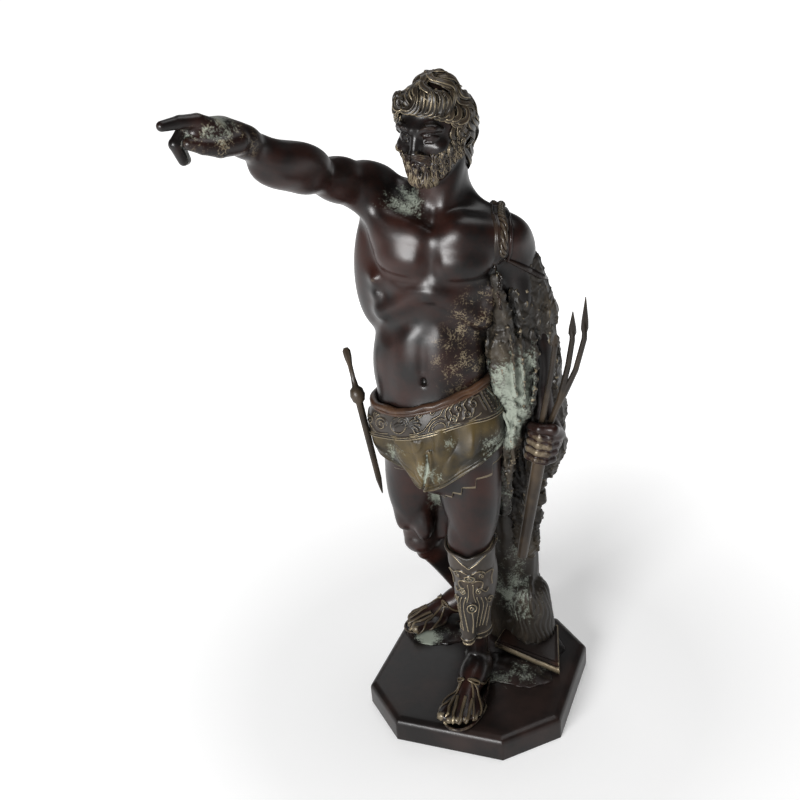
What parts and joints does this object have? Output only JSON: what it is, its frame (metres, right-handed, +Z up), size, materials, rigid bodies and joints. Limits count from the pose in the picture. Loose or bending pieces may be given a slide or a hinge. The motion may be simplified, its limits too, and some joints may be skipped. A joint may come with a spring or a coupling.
{
  "type": "gladiator statue",
  "caption": "Bronze statuette of a Roman net fighter pointing ahead, with net, trident, dagger and a fallen helmet, on an eight-sided plinth.",
  "frame": {"origin": "centre of the plinth's flat underside", "axes": "+Z up, -Y the way the figure's body faces, +X to the figure's left"},
  "size_m": [0.1723, 0.2136, 0.415],
  "materials": {
    "bronze_dark": "semi-gloss dark brown patina with red-brown glow, rubbed brassy on relief and green-white in hollows",
    "bronze_plinth": "smooth dark patina, rubbed edges",
    "bronze_brown": "satin brown patina, rubbed bright on edges"
  },
  "bodies": {
    "root": {"figure": "bronze_dark", "base": "bronze_plinth", "trident": "bronze_brown", "dagger": "bronze_brown"}
  },
  "joints": []
}
